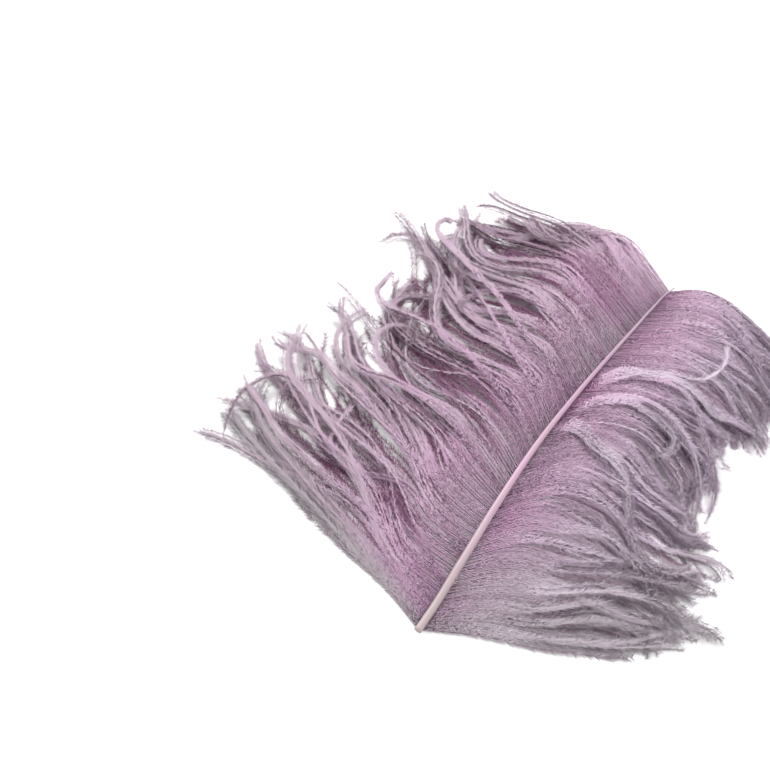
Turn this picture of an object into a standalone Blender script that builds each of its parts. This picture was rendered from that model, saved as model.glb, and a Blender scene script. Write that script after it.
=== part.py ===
"""A dyed ostrich feather, lying on a flat surface.

The feather is one piece, as it grew: a tapering shaft with a vane of soft barbs on each side.
The barbs hang together in locks, so each vane is a sheet that parts into locks along its outer edge.
Units are metres, +Z is up, +Y runs along the shaft from the cut quill to the plume's tip.
The origin is on the surface that the feather lies on, below the middle of the feather's box.
"""

import math
import random

import bmesh
import bpy
import numpy as np
from mathutils import Vector

MM = 0.001

# Where the quill's cut end lies, seen from the middle of the feather's box
QUILL_END_X = 25.7 * MM
QUILL_END_Y = -154.74 * MM

# The shaft's half width in millimetres at each point of its line, and the sides of its section
SHAFT_RADII = (2.0, 2.0, 2.05, 1.85, 1.55, 1.3, 1.02, 0.82, 0.58, 0.38)
SHAFT_SIDES = 10
SHAFT_RINGS = 36

# The shaft's centre line, in millimetres from the quill's cut end: across, along and above the surface.
# Its first stretch lies flat, and one face of the shaft rests on the surface there.
RESTING_HEIGHT = SHAFT_RADII[0] * math.cos(math.pi / SHAFT_SIDES)
SHAFT_LINE = (
    (0, 0, RESTING_HEIGHT),
    (0, 14, RESTING_HEIGHT),
    (0, 40, 6.0),
    (0, 80, 12.5),
    (0.7, 125, 17.0),
    (3.3, 170, 18.0),
    (6.2, 212, 16.0),
    (8, 250, 11.5),
    (9, 270, 8.5),
    (11, 282, 6.5),
)

# Each guide is one lock of the vane: the station where it leaves the shaft, in millimetres of length
# along the shaft, and the plan of its own line, in millimetres from the quill's cut end.
LEFT_GUIDES = (
    (1, ((-27, 15), (-62, 27), (-98, 46), (-129, 63), (-158, 74))),
    (8, ((-29, 27), (-63, 46), (-103, 66), (-141, 84), (-176, 105))),
    (24, ((-30, 38), (-62, 62), (-99, 87), (-131, 117), (-162, 146))),
    (62, ((-27, 83), (-54, 105), (-88, 128), (-122, 150), (-151, 178))),
    (98, ((-24, 125), (-52, 143), (-87, 156), (-120, 180), (-146, 216))),
    (138, ((-22, 162), (-51, 175), (-85, 184), (-120, 208), (-146, 250))),
    (190, ((-27, 213), (-56, 227), (-83, 230), (-110, 243), (-136, 270))),
    (240, ((-21, 260), (-48, 277), (-76, 280), (-102, 278), (-125, 287))),
    (277, ((-11, 294), (-34, 307), (-60, 309), (-83, 305), (-104, 305))),
)
RIGHT_GUIDES = (
    (1, ((28, 12), (54, 19), (77, 28), (94, 38), (108, 50))),
    (28, ((21, 42), (45, 50), (68, 59), (93, 66), (120, 72))),
    (68, ((20, 80), (46, 85), (70, 84), (95, 84), (119, 92))),
    (105, ((22, 123), (46, 127), (68, 119), (88, 109), (111, 108))),
    (140, ((23, 158), (44, 163), (63, 157), (78, 145), (89, 130))),
    (172, ((24, 190), (44, 199), (63, 197), (78, 186), (87, 168))),
    (208, ((29, 225), (53, 229), (76, 225), (93, 216), (106, 203))),
    (245, ((30, 258), (53, 261), (75, 254), (94, 242), (108, 226))),
    (277, ((26, 288), (44, 288), (62, 279), (78, 264), (92, 248))),
)

LOCKS_A_SIDE = 30
# The rows of a lock: the share of its length at which the row lies, its width against the width
# where the locks part, and its thickness in millimetres
LOCK_ROWS = (
    (0.0, 1.0, 1.0),
    (0.06, 1.0, 1.3),
    (0.14, 1.0, 1.8),
    (0.24, 1.0, 2.2),
    (0.34, 1.0, 2.6),
    (0.46, 0.93, 2.8),
    (0.58, 0.88, 2.8),
    (0.69, 0.82, 2.6),
    (0.79, 0.72, 2.4),
    (0.88, 0.58, 2.1),
    (0.95, 0.4, 1.8),
    (1.0, 0.16, 1.2),
)
LAST_WEB_ROW = 4  # beyond this row the locks are apart
PART_SHARE = LOCK_ROWS[LAST_WEB_ROW][0]
EVEN_SHARE = 0.5  # all locks of a vane are equally wide at this share of their length
THICKEST = 2.8 * MM
LOCK_CROWN = 1.6 * MM  # how far a lock's middle stands above its edges
FLOOR_CLEARANCE = 0.05 * MM  # between a resting lock's underside and the surface
REACHES_SURFACE_SHARE = 0.8  # share of a lock's length by which it has come down to the surface
ROOT_BELOW_CENTRE = 0.4  # how far below the shaft's centre the barbs leave it, in half widths
CREST = 1.6 * MM  # how far the barbs rise beside the shaft before they fall
CREST_STARTS, CREST_ENDS = 0.06, 0.5  # shares of a lock's length
LENGTH_SPREAD = 0.06  # how much the locks' lengths differ, as a share
UPPER_LIFT = 3.6 * MM  # how far every other lock rides above its neighbours
LIFT_SPREAD = 1.2 * MM  # how much that differs
TIP_LIFT = 5.0 * MM  # how far a riding lock's curled tip may stand off besides
TIP_SWAY = 0.45  # how far a riding lock's tip may lean to one side, against its width
RANDOM_SEED = 7

BARB_COLOUR = (0.44, 0.38, 0.43, 1.0)


def clear_scene():
    """Removes every object that the scene starts with."""
    for obj in list(bpy.data.objects):
        bpy.data.objects.remove(obj, do_unlink=True)


def spline(points, share):
    """The point at a share of a smooth curve through evenly counted points. The share is 0 at the
    first point and 1 at the last, and the curve runs on a little beyond it."""
    points = np.asarray(points, float)
    last = len(points) - 1
    place = max(share, 0.0) * last
    i = min(int(place), last - 1)
    t = place - i
    before = points[i - 1] if i > 0 else 2 * points[0] - points[1]
    after = points[i + 2] if i + 2 <= last else 2 * points[last] - points[last - 1]
    start, end = points[i], points[i + 1]
    return 0.5 * (
        2 * start
        + (end - before) * t
        + (2 * before - 5 * start + 4 * end - after) * t * t
        + (3 * start - before - 3 * end + after) * t**3
    )


def smooth_step(t):
    """Rises smoothly from 0 to 1 as t does."""
    t = min(max(t, 0.0), 1.0)
    return t * t * (3 - 2 * t)


def shaft_at(station):
    """Centre of the shaft at a station, in millimetres from the quill's cut end."""
    along = [point[1] for point in SHAFT_LINE]
    if station <= along[1]:
        return np.array((0.0, station, RESTING_HEIGHT))
    place = np.interp(station, along, range(len(along))) / (len(along) - 1)
    point = spline(SHAFT_LINE, place)
    point[1] = station
    return point


def shaft_radius(station):
    """Half width of the shaft at a station, in millimetres."""
    return float(np.interp(station, [point[1] for point in SHAFT_LINE], SHAFT_RADII))


def to_frame(point):
    """A point in millimetres from the quill's cut end, as metres in the feather's frame."""
    return Vector((QUILL_END_X + point[0] * MM, QUILL_END_Y + point[1] * MM, point[2] * MM))


def guide_station(guides, place):
    """The station on the shaft for a place from 0, at the quill, to 1, at the plume's tip."""
    return float(spline([[guide[0]] for guide in guides], place)[0])


def guide_plan(guides, place, station):
    """The plan of a barb that leaves the shaft at a station and follows the guides at a place."""
    plans = [np.asarray(guide[1], float).ravel() for guide in guides]
    return np.vstack([shaft_at(station)[:2], spline(plans, place).reshape(-1, 2)])


def even_places(guides, count):
    """Places along a vane that are evenly spaced where they cross the middle of its barbs."""
    samples = np.linspace(0, 1, 241)
    plans = [guide_plan(guides, place, guide_station(guides, place)) for place in samples]
    line = np.array([spline(plan, EVEN_SHARE) for plan in plans])
    run = np.concatenate([[0], np.cumsum(np.linalg.norm(np.diff(line, axis=0), axis=1))])
    return np.interp(np.linspace(0, run[-1], count), run, samples)


class Lock:
    """One lock of a vane: its columns along the vane and how it differs from its neighbours."""

    def __init__(self, guides, places, stations, rides, rng):
        self.guides = guides
        self.places = places
        self.stations = stations
        self.length = 1 + rng.uniform(-LENGTH_SPREAD, LENGTH_SPREAD)
        self.lift = rides * (UPPER_LIFT + rng.uniform(0, LIFT_SPREAD))
        self.tip_lift = rides * TIP_LIFT * rng.random() ** 2
        self.sway = rides * TIP_SWAY * rng.uniform(-1.0, 1.0)

    def across(self, values, side):
        """A value at the lock's middle, 0, or towards its edges, -1 and 1."""
        return values[1] + side * (values[2] - values[1] if side > 0 else values[1] - values[0])

    def height(self, station, share, thickness):
        """Height in millimetres of the lock's middle surface above what the feather lies on."""
        shaft = shaft_at(station)[2] - ROOT_BELOW_CENTRE * shaft_radius(station)
        resting = thickness / 2 + FLOOR_CLEARANCE / MM
        fall = 1 - smooth_step(share / REACHES_SURFACE_SHARE)
        hump = (share - CREST_STARTS) / (CREST_ENDS - CREST_STARTS)
        crest = CREST / MM * math.sin(math.pi * min(max(hump, 0.0), 1.0)) * smooth_step(shaft / 12)
        beyond_web = smooth_step((share - PART_SHARE) / (1 - PART_SHARE))
        raised = (self.lift * beyond_web**0.5 + self.tip_lift * beyond_web**4) / MM
        return resting + max(shaft - resting, 0.0) * fall + crest + raised

    def point(self, row, side):
        """A point of a row. side is -1 or 1 at the lock's edges and 0 on its middle line."""
        share, width, thickness = LOCK_ROWS[row]
        beyond_web = smooth_step((share - PART_SHARE) / (1 - PART_SHARE))
        lean = side * width + self.sway * beyond_web
        station = self.across(self.stations, lean)
        plan = guide_plan(self.guides, self.across(self.places, lean), station)
        across, along = spline(plan, share * (1 + (self.length - 1) * beyond_web))
        above = self.height(station, share, thickness)
        if side == 0:
            above += LOCK_CROWN / MM * smooth_step(share / PART_SHARE) * width
        return to_frame((across, along, above))

    def rows(self):
        """All its rows, each as three points across the lock."""
        return [[self.point(row, side) for side in (-1, 0, 1)] for row in range(len(LOCK_ROWS))]


def add_vane(bm, locks, thick, spine):
    """Adds one vane to the mesh. spine holds the shared vertices along the shaft."""
    made = {}

    def vertex(lock, row, column):
        """The vertex of a lock's row, shared with the next lock where the vane is still whole."""
        if row == 0:
            return spine[2 * lock + column]
        key = (2 * lock + column, row) if row <= LAST_WEB_ROW else (lock, column, row)
        if key not in made:
            made[key] = bm.verts.new(locks[lock][row][column])
            made[key][thick][0] = LOCK_ROWS[row][2] * MM / THICKEST
        return made[key]

    for lock in range(LOCKS_A_SIDE):
        for row in range(len(LOCK_ROWS) - 1):
            for column in (0, 1):
                corners = (
                    vertex(lock, row, column),
                    vertex(lock, row + 1, column),
                    vertex(lock, row + 1, column + 1),
                    vertex(lock, row, column + 1),
                )
                bm.faces.new(corners)


def make_vanes():
    """Both vanes as one sheet that is folded along the shaft, one column of points at each
    lock's edges and one along its middle."""
    rng = random.Random(RANDOM_SEED)
    columns = 2 * LOCKS_A_SIDE + 1
    places = [even_places(guides, columns) for guides in (LEFT_GUIDES, RIGHT_GUIDES)]
    stations = [
        (guide_station(LEFT_GUIDES, left) + guide_station(RIGHT_GUIDES, right)) / 2
        for left, right in zip(*places)
    ]
    sides = []
    for guides, side_places in zip((LEFT_GUIDES, RIGHT_GUIDES), places):
        locks = []
        for number in range(LOCKS_A_SIDE):
            own = slice(2 * number, 2 * number + 3)
            locks.append(Lock(guides, side_places[own], stations[own], number % 2, rng).rows())
        sides.append(locks)

    bm = bmesh.new()
    thick = bm.verts.layers.deform.verify()
    spine = []
    for column in range(columns):
        lock = min(column // 2, LOCKS_A_SIDE - 1)
        spine.append(bm.verts.new(sides[0][lock][0][column - 2 * lock]))
        spine[-1][thick][0] = LOCK_ROWS[0][2] * MM / THICKEST
    for locks in sides:
        add_vane(bm, locks, thick, spine)
    bmesh.ops.recalc_face_normals(bm, faces=bm.faces[:])
    mesh = bpy.data.meshes.new("vanes")
    bm.to_mesh(mesh)
    bm.free()
    vanes = bpy.data.objects.new("vanes", mesh)
    vanes.vertex_groups.new(name="thickness")
    return vanes


def thicken(vanes):
    """Gives the sheet the thickness of each row."""
    solid = vanes.modifiers.new("thickness", "SOLIDIFY")
    solid.thickness = THICKEST
    solid.offset = 0.0
    solid.vertex_group = "thickness"


def make_shaft(parts):
    """The shaft: a tube that tapers to the plume's tip."""
    first, flat_end = SHAFT_LINE[0][1], SHAFT_LINE[1][1]
    stations = [first, flat_end]
    stations += list(np.linspace(flat_end, SHAFT_LINE[-1][1], SHAFT_RINGS - 1)[1:])
    curve = bpy.data.curves.new("shaft line", "CURVE")
    curve.dimensions = "3D"
    curve.twist_mode = "Z_UP"
    curve.bevel_depth = MM
    curve.bevel_resolution = (SHAFT_SIDES - 4) // 2
    curve.use_fill_caps = True
    line = curve.splines.new("POLY")
    line.points.add(len(stations) - 1)
    for point, station in zip(line.points, stations):
        point.co = (*to_frame(shaft_at(station)), 1.0)
        point.radius = shaft_radius(station)
    tube = bpy.data.objects.new("shaft line", curve)
    parts.objects.link(tube)
    bpy.context.view_layer.update()
    evaluated = tube.evaluated_get(bpy.context.evaluated_depsgraph_get())
    mesh = bpy.data.meshes.new_from_object(evaluated)
    bpy.data.objects.remove(tube, do_unlink=True)

    bm = bmesh.new()
    bm.from_mesh(mesh)
    bmesh.ops.remove_doubles(bm, verts=bm.verts[:], dist=0.00001)
    bm.to_mesh(mesh)
    bm.free()
    mesh.name = "feather"
    feather = bpy.data.objects.new("feather", mesh)
    parts.objects.link(feather)
    return feather


def barb_material():
    """The matt, silver mauve surface of the barbs."""
    material = bpy.data.materials.new("barbs")
    material.use_nodes = True
    shader = material.node_tree.nodes["Principled BSDF"]
    shader.inputs["Base Color"].default_value = BARB_COLOUR
    shader.inputs["Roughness"].default_value = 0.85
    shader.inputs["Metallic"].default_value = 0.0
    return material


def collection(name):
    """A new collection in the scene."""
    made = bpy.data.collections.new(name)
    bpy.context.scene.collection.children.link(made)
    return made


def main():
    """Builds the feather."""
    clear_scene()
    parts = collection("ostrich feather")
    helpers = collection("helpers")

    vanes = make_vanes()
    helpers.objects.link(vanes)
    thicken(vanes)
    vanes.hide_render = True
    vanes.display_type = "WIRE"

    feather = make_shaft(parts)
    feather.data.materials.clear()
    feather.data.materials.append(barb_material())
    join = feather.modifiers.new("vanes on shaft", "BOOLEAN")
    join.operation = "UNION"
    join.object = vanes
    feather.data.shade_smooth()
    feather.data.set_sharp_from_angle(angle=math.radians(35))


main()
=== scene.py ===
"""Dresses a dyed ostrich feather that lies on a plain pale surface.

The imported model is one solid: a shaft with a vane of locks on each side. Here the shaft is turned
from its own line, and each vane becomes about five hundred barbs, which leave the shaft side by
side, gather into strands and locks, and carry barbules along their whole length.
Lengths are in metres in the row's frame, except in the guides of the vanes and the shaft's line,
which are in millimetres from the quill's cut end, as they were measured.
"""

import logging
import math
import random
from dataclasses import dataclass, field
from enum import Enum

import bpy
import numpy as np
from mathutils import Matrix, Vector


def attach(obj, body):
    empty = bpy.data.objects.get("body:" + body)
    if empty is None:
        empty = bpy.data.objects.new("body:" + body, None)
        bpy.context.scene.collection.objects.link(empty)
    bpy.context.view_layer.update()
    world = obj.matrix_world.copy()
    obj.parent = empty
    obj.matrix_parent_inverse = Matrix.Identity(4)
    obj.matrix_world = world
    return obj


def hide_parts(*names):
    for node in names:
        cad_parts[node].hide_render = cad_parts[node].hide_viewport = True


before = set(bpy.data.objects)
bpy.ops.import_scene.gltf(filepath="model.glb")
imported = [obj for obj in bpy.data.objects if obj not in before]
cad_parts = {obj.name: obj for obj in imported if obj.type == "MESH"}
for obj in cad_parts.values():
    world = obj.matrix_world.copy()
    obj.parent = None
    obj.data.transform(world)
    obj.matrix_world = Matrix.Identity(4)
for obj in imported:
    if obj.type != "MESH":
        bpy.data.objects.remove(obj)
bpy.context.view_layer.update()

MM = 0.001
LOG = logging.getLogger("feather")
QUILL_END = np.array((25.7, -154.74, 0.0))
UP = (0.0, 0.0, 1.0)

Span = tuple[float, float]
Colour = tuple[float, float, float]
Guide = tuple[float, tuple[Span, ...]]
Socket = bpy.types.NodeSocket


class Side(Enum):
    """The two sides of the shaft, seen from above with the quill nearest."""

    LEFT = "left"
    RIGHT = "right"


def smooth_step(values: np.ndarray, low: float = 0.0, high: float = 1.0) -> np.ndarray:
    """Rises smoothly from 0 to 1 while the values go from low to high."""
    t = np.clip((values - low) / (high - low), 0.0, 1.0)
    return t * t * (3 - 2 * t)


def through(points: np.ndarray, shares: np.ndarray) -> np.ndarray:
    """Reads a smooth curve through evenly counted points.

    Args:
        points: The points, along the first axis.
        shares: Places on the curve, from 0 at its first point to 1 at its last and a little beyond.

    Returns:
        The curve's value at each place, along the first axis.
    """
    many = np.broadcast_to(points[:, None], (len(points), len(shares), *points.shape[1:]))
    return through_each(many, shares)


def through_each(points: np.ndarray, shares: np.ndarray) -> np.ndarray:
    """Reads a curve of its own for each place.

    Args:
        points: The points of the curves, shaped (point, curve, ...).
        shares: One place on each curve, as in through.

    Returns:
        The value of each curve at its place, along the first axis.
    """
    last = len(points) - 1
    place = np.maximum(shares, 0.0) * last
    first = np.minimum(place.astype(int), last - 1)
    t = (place - first).reshape(-1, *[1] * (points.ndim - 2))
    padded = np.concatenate((2 * points[:1] - points[1:2], points, 2 * points[-1:] - points[-2:-1]))
    curve = np.arange(len(shares))
    before, start, end, after = (padded[first + step, curve] for step in range(4))
    return 0.5 * (
        2 * start
        + (end - before) * t
        + (2 * before - 5 * start + 4 * end - after) * t**2
        + (3 * start - before - 3 * end + after) * t**3
    )


def read_rows(rows: np.ndarray, owners: np.ndarray, shares: np.ndarray) -> np.ndarray:
    """Reads rows of points at shares of their length, each share in the row that owns it."""
    last = rows.shape[1] - 1
    place = shares * last
    first = np.minimum(place.astype(int), last - 1)
    part = (place - first)[..., None]
    return rows[owners, first] * (1 - part) + rows[owners, first + 1] * part


def tube_faces(tubes: int, rings: int, sides: int) -> np.ndarray:
    """Corners of the faces that join the rings of some tubes, four to a face."""
    counted = np.arange(tubes), np.arange(rings - 1), np.arange(sides)
    tube, ring, side = np.meshgrid(*counted, indexing="ij")
    near, after = (tube * rings + ring) * sides, (side + 1) % sides
    corners = near + side, near + after, near + sides + after, near + sides + side
    return np.stack(corners, axis=-1).reshape(-1, 4)


def unit(vectors: np.ndarray) -> np.ndarray:
    """Scales vectors along the last axis to length 1."""
    return vectors / np.maximum(np.linalg.norm(vectors, axis=-1, keepdims=True), 1e-9)


def axes_along(paths: np.ndarray) -> tuple[np.ndarray, np.ndarray, np.ndarray]:
    """Axes at each point of some paths: along the path, level across it, and above it."""
    along = unit(np.gradient(paths, axis=1))
    across = unit(np.cross(along, UP))
    return along, across, np.cross(across, along)


def linked(name: str, data: bpy.types.ID) -> bpy.types.Object:
    """Puts a mesh, a light or a camera into the scene."""
    made = bpy.data.objects.new(name, data)
    bpy.context.scene.collection.objects.link(made)
    return made


def plain_material(name: str, roughness: float) -> tuple[bpy.types.Material, bpy.types.NodeInputs]:
    """Makes a material, and gives its shader's sockets with it."""
    material = bpy.data.materials.new(name)
    material.use_nodes = True
    sockets = material.node_tree.nodes["Principled BSDF"].inputs
    sockets["Roughness"].default_value = roughness
    return material, sockets


def keep_value(mesh: bpy.types.Mesh, title: str, values: np.ndarray) -> None:
    """Keeps one value for each vertex of a mesh, for its material to read."""
    layer = mesh.attributes.new(title, "FLOAT", "POINT")
    layer.data.foreach_set("value", values.astype(np.float32))


@dataclass
class ShaftLine:
    """The centre line of the shaft, as the CAD solid has it, in millimetres.

    The points give across, along and above; the half widths belong to the same points.
    """

    half_widths: tuple[float, ...] = (2.0, 2.0, 2.05, 1.85, 1.55, 1.3, 1.02, 0.82, 0.58, 0.38)
    points: tuple[tuple[float, float, float], ...] = (
        (0, 0, 1.902),
        (0, 14, 1.902),
        (0, 40, 6.0),
        (0, 80, 12.5),
        (0.7, 125, 17.0),
        (3.3, 170, 18.0),
        (6.2, 212, 16.0),
        (8, 250, 11.5),
        (9, 270, 8.5),
        (11, 282, 6.5),
    )

    def centre(self, stations: np.ndarray) -> np.ndarray:
        """Centres of the shaft, in millimetres from the quill's cut end.

        Args:
            stations: Places along the shaft, in millimetres.

        Returns:
            One point for each station.
        """
        line = np.array(self.points, float)
        shares = np.interp(stations, line[:, 1], np.arange(len(line))) / (len(line) - 1)
        centres = through(line, shares)
        centres[:, 1] = stations
        centres[stations <= line[1, 1], 2] = line[0, 2]
        return centres

    def half_width(self, stations: np.ndarray) -> np.ndarray:
        """Half widths of the shaft at stations along it, in millimetres."""
        return np.interp(stations, [point[1] for point in self.points], self.half_widths)


@dataclass
class LockShape:
    """How the CAD solid shapes its locks, repeated so that the barbs lie where it is."""

    locks_a_side: int = 30
    part_share: float = 0.34
    even_share: float = 0.5
    even_samples: int = 241
    reaches_surface_share: float = 0.8
    root_below_centre: float = 0.4
    crest: float = 1.6
    crest_span: Span = (0.06, 0.5)
    crest_full_height: float = 12.0
    width_shares: tuple[float, ...] = (0.0, 0.2, 0.34, 0.46, 0.58, 0.69, 0.79, 0.88, 0.95, 1.0)
    widths: tuple[float, ...] = (1.0, 1.0, 0.96, 0.92, 0.88, 0.84, 0.8, 0.74, 0.66, 0.6)
    length_spread: float = 0.06
    upper_lift: float = 3.6
    lift_spread: float = 1.2
    tip_lift: float = 5.0
    tip_sway: float = 0.45
    resting_height: float = 1.3
    seed: int = 7


@dataclass
class Strand:
    """A few barbs that cling together, or one that lies loose under the others.

    Attributes:
        lock: Number of its lock, counted from the quill.
        columns: Places of its barbs along the vane, counted in half locks from the quill.
        sway: How far its lock's tip leans to one side, in half locks.
        length: Its length against its guide's.
        lift: How far it rides above the vane's middle surface, in millimetres.
        gather: Shares of its length between which its barbs come together.
        bend: Size of its own sideways waves, in radians.
        curl: How far its tip turns, in radians.
        curl_from: Share of its length where that starts.
        rise: How far its tip stands up, in millimetres.
        tone: Lightness against the mean: lightness that differs at random, plus painted shade on loose
            barbs and on strands that ride low, and painted highlight on those that ride high.
        fluff: Length of its barbules against the usual length.
        spread: How little it follows its lock as that narrows, from 0 to 1.
        loose: Whether it is a single barb under the strands.
    """

    lock: int
    columns: np.ndarray
    sway: float
    length: float
    lift: float
    gather: Span
    bend: float
    curl: float
    curl_from: float
    rise: float
    tone: float
    fluff: float = 1.0
    spread: float = 0.0
    loose: bool = False


@dataclass
class Barbs:
    """A set of barbs, ready to be made a mesh.

    Attributes:
        paths: Points along each barb from root to tip, in metres, shaped (barb, point, 3).
        outward: The way that faces out of the vane or out of the barb's strand, shaped as paths.
        bundled: How far each point has joined a strand, from 0 to 1, shaped (barb, point).
        tone: Lightness of each barb against the mean, about 0: lightness that differs at random, plus
            painted shade and painted highlight.
        fluff: Length of each barb's barbules against the usual length.
        ends: Share of the vane's width that each barb reaches.
        wool: How woolly and grey each barb is, from 0 to 1.
    """

    paths: np.ndarray
    outward: np.ndarray
    bundled: np.ndarray
    tone: np.ndarray
    fluff: np.ndarray
    ends: np.ndarray
    wool: np.ndarray

    def part(self, chosen: slice) -> "Barbs":
        """Some of the barbs as a set of their own."""
        return Barbs(*(values[chosen] for values in vars(self).values()))

    @staticmethod
    def joined(sets: list["Barbs"]) -> "Barbs":
        """Several sets as one."""
        columns = zip(*(vars(barbs).values() for barbs in sets))
        return Barbs(*(np.concatenate(values) for values in columns))


@dataclass(frozen=True)
class Wrap:
    """How the barbs of a strand lie around its core.

    Attributes:
        flat: The strand's width and thickness against a round one's.
        clearance: How far its barbs keep from the surface below, in millimetres.
        twist: How far they wind around the core, in radians.
        innermost: The least share of the strand's section that lies inside a barb.
        narrow_from: Share of the length past which the strand narrows.
        narrowing: How much it has narrowed at its tip.
        facing_up: How much a barb faces up against out of its strand.
        painted_top_highlight: How much paler a barb is painted on top of its strand than at its side, a
            painted highlight.
        painted_side_highlight: How much paler it is painted on the strand's lit side, a painted
            highlight.
        fluffs: Lengths of the barbs' barbules against the usual length.
    """

    flat: Span = (1.25, 0.75)
    clearance: float = 0.35
    twist: float = 2.0
    innermost: float = 0.1
    narrow_from: float = 0.7
    narrowing: float = 0.25
    facing_up: float = 1.15
    painted_top_highlight: float = 0.7
    painted_side_highlight: float = 0.35
    fluffs: Span = (0.85, 1.15)

    def lay(
        self,
        rng: np.random.Generator,
        core: np.ndarray,
        offset: np.ndarray,
        bundled: np.ndarray,
        shares: np.ndarray,
        radius: np.ndarray,
        tone: np.ndarray,
    ) -> Barbs:
        """Lays barbs around the cores of their strands, and paints barbs paler on a strand's top and lit
        side, a painted highlight.

        Args:
            rng: The source of chance.
            core: The core of each barb's strand, in millimetres from the quill's cut end.
            offset: How far each barb keeps from it, where the barbs haven't joined.
            bundled: How far each point has joined the strand, from 0 to 1.
            shares: Shares of the strand's length.
            radius: How far each joined barb keeps from the core at most, in millimetres.
            tone: Lightness of each barb, to which this adds the painted highlight.

        Returns:
            The barbs, in metres in the row's frame.
        """
        count = len(core)
        gather = bundled[:, :, None]
        _, across, above = axes_along(core)
        angle = rng.uniform(0, 2 * np.pi, (count, 1)) + rng.normal(0, self.twist, (count, 1)) * shares
        narrow = self.narrowing * smooth_step(shares, self.narrow_from)
        reach = radius[:, None] * np.sqrt(rng.uniform(self.innermost, 1, (count, 1))) * (1 - narrow)
        wide, thick = self.flat
        aside, up = across * np.cos(angle)[:, :, None], above * np.sin(angle)[:, :, None]
        paths = core + offset + (aside * wide + up * thick) * reach[:, :, None] * gather
        ring = unit(aside / wide + up / thick)
        paths[:, :, 2] = np.maximum(paths[:, :, 2], self.clearance)
        outward = unit(above * (self.facing_up - gather) + ring * gather)
        # Painted highlight: barbs on top of a strand and on its lit side are painted paler, those under
        # it and on its far side darker.
        lit = self.painted_top_highlight * np.sin(angle) - self.painted_side_highlight * np.cos(angle)
        tone = tone + lit.mean(axis=1) * bundled.max(axis=1)
        fluff = rng.uniform(*self.fluffs, count)
        paths = (paths + QUILL_END) * MM
        return Barbs(paths, outward, bundled, tone, fluff, np.ones(count), np.zeros(count))


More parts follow.
